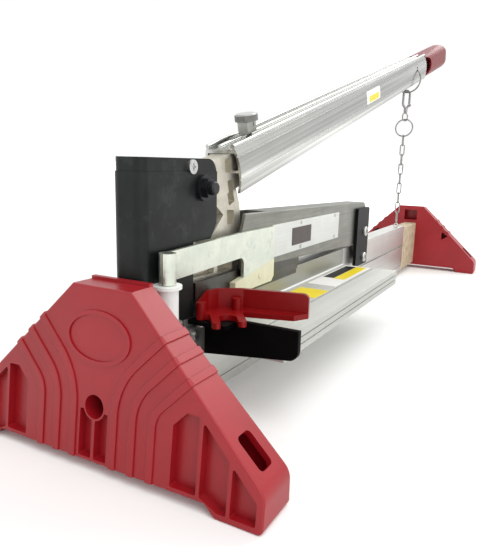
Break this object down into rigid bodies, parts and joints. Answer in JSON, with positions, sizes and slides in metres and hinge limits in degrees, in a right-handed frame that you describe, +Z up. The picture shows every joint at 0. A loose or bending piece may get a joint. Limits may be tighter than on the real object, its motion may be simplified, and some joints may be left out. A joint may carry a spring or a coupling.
{
  "type": "laminate flooring cutter",
  "caption": "Bench guillotine for laminate boards: lever-driven blade arm on an aluminium beam with moulded feet, side table, swivelling fence, sliding handle and carrying chain",
  "frame": {"origin": "centre of the bounding box, on the ground plane under the feet", "axes": "+Z up, +Y along the beam from the lever end to the blade hinge end, +X towards the side table"},
  "size_m": [0.27, 1.0784, 0.4728],
  "materials": {
    "red_plastic": "satin red moulding",
    "rubber": "matt",
    "beam_aluminium": "mill finish",
    "handle_aluminium": "mill finish",
    "beige_block": "matt beige",
    "black_paint": "satin black",
    "cast_grey": "as cast",
    "zinc_steel": "zinc plated",
    "holder_steel": "plain",
    "tool_steel": "ground",
    "bright_steel": "zinc plated",
    "chain_steel": "plated",
    "bronze": "plain",
    "nylon": "natural nylon",
    "white_plastic": "white",
    "clamp_zinc": "zinc plated",
    "label_metal": "satin",
    "black_plastic": "knurled"
  },
  "bodies": {
    "frame": {"front_foot": "red_plastic", "rear_foot": "red_plastic", "foot_pads": "rubber", "foot_bolts": "bright_steel", "main_beam": "beam_aluminium", "beam_end_block": "beige_block", "shear_bar": "tool_steel", "side_table": "beam_aluminium", "fence_bracket": "black_paint", "bracket_foot": "clamp_zinc", "bracket_screws": "bright_steel", "fence_screw": "bright_steel", "lever_housing": "black_paint", "housing_bolt": "bright_steel", "housing_screws": "bright_steel", "pivot_bolt": "bright_steel", "pivot_nut": "bright_steel", "pivot_washers": "bright_steel", "guide_sleeve": "white_plastic", "sleeve_clamp": "clamp_zinc", "sleeve_screws": "bright_steel", "hinge_plate_right": "black_paint", "hinge_plate_left": "black_paint", "hinge_bolt": "bright_steel", "plate_bolt": "bright_steel", "hinge_spacer": "bright_steel", "hinge_nuts": "bright_steel", "chain_eye": "bright_steel"},
    "blade_arm": {"blade_holder": "holder_steel", "holder_bush": "bronze", "blade": "tool_steel", "blade_screws": "bright_steel", "guide_arm": "zinc_steel", "guide_post": "bright_steel", "label_plate": "label_metal", "label_rivets": "bright_steel", "presser_block": "nylon", "presser_screw": "bright_steel", "drive_pin": "bright_steel"},
    "lever": {"lever_casting": "cast_grey", "pivot_bush": "bronze"},
    "handle": {"handle_extrusion": "handle_aluminium", "end_grip": "red_plastic", "grip_rivets": "bright_steel", "clamp_block": "cast_grey"},
    "knob": {"clamp_knob": "black_plastic"},
    "fence": {"fence": "red_plastic"},
    "chain": {"split_ring": "chain_steel", "snap_hook": "chain_steel", "swivel_link": "chain_steel", "chain_ring": "chain_steel", "chain_links": "chain_steel"},
    "gate": {"hook_gate": "chain_steel"}
  },
  "joints": [
    {"name": "lever_hinge", "type": "hinge", "parent": "frame", "child": "lever", "pos_m": [0, -0.42008, 0.1945], "axis": [1, 0, 0], "range_deg": [0, 60]},
    {"name": "arm_hinge", "type": "hinge", "parent": "frame", "child": "blade_arm", "pos_m": [0, 0.00222, 0.1194], "axis": [-1, 0, 0], "range_deg": [0, 3.6]},
    {"name": "handle_slide", "type": "slide", "parent": "lever", "child": "handle", "axis": [0, 0.965, 0.2622], "range_m": [0, 0.12]},
    {"name": "knob_turn", "type": "hinge", "parent": "handle", "child": "knob", "pos_m": [0, -0.326, 0.25633], "axis": [0, -0.2622, 0.965], "range_deg": [0, 360]},
    {"name": "fence_swivel", "type": "hinge", "parent": "frame", "child": "fence", "pos_m": [0.0205, -0.43128, 0.092], "axis": [0, 0, 1], "range_deg": [-45, 0]},
    {"name": "chain_swing", "type": "hinge", "parent": "handle", "child": "chain", "pos_m": [0.017, 0.27912, 0.3881], "axis": [1, 0, 0], "range_deg": [-36, 0]},
    {"name": "gate_hinge", "type": "hinge", "parent": "chain", "child": "gate", "pos_m": [0.00543, 0.29075, 0.32555], "axis": [0.7067, -0.6943, 0.1361], "range_deg": [0, 25], "stiffness_Nm_per_rad": 0.002}
  ],
  "couplings": [
    {"joint": "arm_hinge", "follows": "lever_hinge", "ratio": 0.06},
    {"joint": "chain_swing", "follows": "lever_hinge", "ratio": -0.6}
  ]
}
